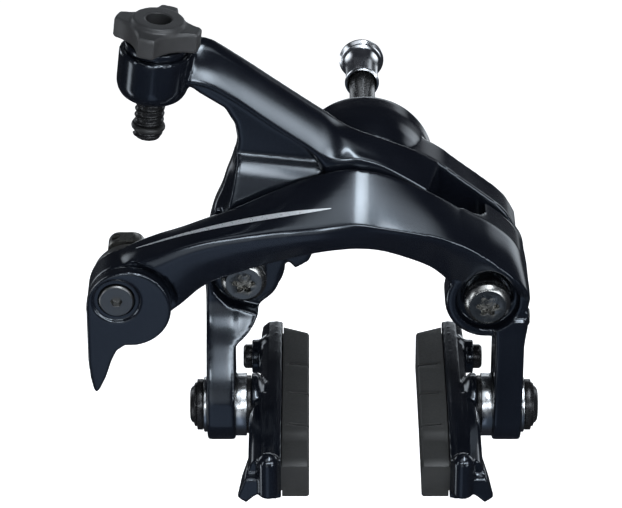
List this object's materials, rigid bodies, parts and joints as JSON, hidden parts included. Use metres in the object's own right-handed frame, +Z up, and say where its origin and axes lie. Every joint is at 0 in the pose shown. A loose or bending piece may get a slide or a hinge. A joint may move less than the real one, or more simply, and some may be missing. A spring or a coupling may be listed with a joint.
{
  "type": "rim brake caliper",
  "caption": "Dual-pivot rim brake caliper with curved front arm, rear arm with barrel adjuster, quick-release lever and two cartridge shoes on a long mounting bolt.",
  "frame": {"origin": "On the mounting bolt's axis, at the rear face that seats on the fork.", "axes": "X to the right seen from the front, Y to the rear along the mounting bolt, Z up."},
  "size_m": [0.1008, 0.1053, 0.104],
  "materials": {
    "gloss_black": "gloss navy-black paint over forged aluminium",
    "graphite": "satin graphite finish",
    "bolt_black": "black oxide, lightly glossy",
    "steel": "fine turned and brushed",
    "chrome": "bright plating",
    "spring_steel": "drawn wire",
    "pad_rubber": "matt moulded rubber",
    "seal_rubber": "matt moulded rubber"
  },
  "bodies": {
    "mounting": {"bracket": "gloss_black", "centre_bolt": "bolt_black", "seat_washer": "bolt_black", "sleeve_nut": "chrome", "left_pivot_bolt": "steel", "right_pivot_bolt": "steel", "left_pivot_bush": "steel", "right_pivot_bush": "steel", "left_thrust_washer": "steel", "right_thrust_washer": "steel", "left_spring_cap": "graphite", "right_spring_cap": "graphite"},
    "rear_arm": {"rear_arm": "gloss_black", "link_pin": "steel", "left_return_spring": "spring_steel"},
    "link_roller": {"link_roller": "steel"},
    "front_arm": {"front_arm": "gloss_black", "right_return_spring": "spring_steel"},
    "centering_screw": {"centering_screw": "bolt_black"},
    "qr_lever": {"qr_lever": "gloss_black", "qr_cam": "graphite", "qr_screw": "graphite"},
    "cable_anchor": {"anchor_bolt": "bolt_black", "clamp_plate": "steel"},
    "adjuster_detent": {"detent_ring": "graphite"},
    "adjuster": {"adjuster_knob": "graphite", "adjuster_barrel": "graphite", "adjuster_o_ring": "seal_rubber"},
    "left_shoe_height": {"left_bar_washer": "steel", "left_bar_cup": "steel"},
    "left_shoe_toe": {"left_shoe_bolt": "bolt_black", "left_head_cup": "bolt_black", "left_shoe_dome": "bolt_black"},
    "left_shoe": {"left_pad_holder": "gloss_black", "left_brake_pad": "pad_rubber", "left_pad_screw": "bolt_black"},
    "right_shoe_height": {"right_bar_washer": "steel", "right_bar_cup": "steel"},
    "right_shoe_toe": {"right_shoe_bolt": "bolt_black", "right_head_cup": "bolt_black", "right_shoe_dome": "bolt_black"},
    "right_shoe": {"right_pad_holder": "gloss_black", "right_brake_pad": "pad_rubber", "right_pad_screw": "bolt_black"}
  },
  "joints": [
    {"name": "front_arm_close", "type": "hinge", "parent": "mounting", "child": "front_arm", "pos_m": [0.027, -0.02, -0.0193], "axis": [0, 1, 0], "range_deg": [0, 9], "stiffness_Nm_per_rad": 0.6, "springref_deg": -34.38},
    {"name": "rear_arm_close", "type": "hinge", "parent": "mounting", "child": "rear_arm", "pos_m": [-0.027, -0.02, -0.0193], "axis": [0, -1, 0], "range_deg": [0, 9]},
    {"name": "link_roller_spin", "type": "hinge", "parent": "rear_arm", "child": "link_roller", "pos_m": [0, -0.028, 0.0007], "axis": [0, 1, 0], "continuous": true},
    {"name": "centering_screw_turn", "type": "hinge", "parent": "front_arm", "child": "centering_screw", "pos_m": [0.033, -0.027, -0.0272], "axis": [1, 0, 0], "range_deg": [-180, 180]},
    {"name": "qr_lever_turn", "type": "hinge", "parent": "front_arm", "child": "qr_lever", "pos_m": [-0.0521, -0.032, -0.0187], "axis": [0, 1, 0], "range_deg": [0, 120]},
    {"name": "cable_anchor_turn", "type": "hinge", "parent": "qr_lever", "child": "cable_anchor", "pos_m": [-0.05182, -0.025, -0.02189], "axis": [0, 1, 0], "range_deg": [-120, 0]},
    {"name": "adjuster_lift", "type": "slide", "parent": "rear_arm", "child": "adjuster_detent", "axis": [0.1097, 0, 0.994], "range_m": [0, 0.006]},
    {"name": "adjuster_turn", "type": "hinge", "parent": "adjuster_detent", "child": "adjuster", "pos_m": [-0.0462, -0.023, 0.0305], "axis": [0.1097, 0, 0.994], "range_deg": [0, 1440]},
    {"name": "left_shoe_lift", "type": "slide", "parent": "rear_arm", "child": "left_shoe_height", "axis": [0, 0, 1], "range_m": [0, 0.009]},
    {"name": "left_shoe_toe_in", "type": "hinge", "parent": "left_shoe_height", "child": "left_shoe_toe", "pos_m": [-0.014, -0.027, -0.0505], "axis": [0, 0, 1], "range_deg": [-2.5, 2.5]},
    {"name": "left_shoe_tilt", "type": "hinge", "parent": "left_shoe_toe", "child": "left_shoe", "pos_m": [-0.025, -0.027, -0.0505], "axis": [1, 0, 0], "range_deg": [-10, 10]},
    {"name": "right_shoe_lift", "type": "slide", "parent": "front_arm", "child": "right_shoe_height", "axis": [0, 0, 1], "range_m": [0, 0.009]},
    {"name": "right_shoe_toe_in", "type": "hinge", "parent": "right_shoe_height", "child": "right_shoe_toe", "pos_m": [0.014, -0.027, -0.0505], "axis": [0, 0, 1], "range_deg": [-2.5, 2.5]},
    {"name": "right_shoe_tilt", "type": "hinge", "parent": "right_shoe_toe", "child": "right_shoe", "pos_m": [0.025, -0.027, -0.0505], "axis": [1, 0, 0], "range_deg": [-10, 10]}
  ],
  "couplings": [
    {"joint": "rear_arm_close", "follows": "front_arm_close", "ratio": 1},
    {"joint": "cable_anchor_turn", "follows": "qr_lever_turn", "ratio": -1},
    {"joint": "adjuster_turn", "follows": "adjuster_lift", "rad_per_m": 4188.8}
  ]
}
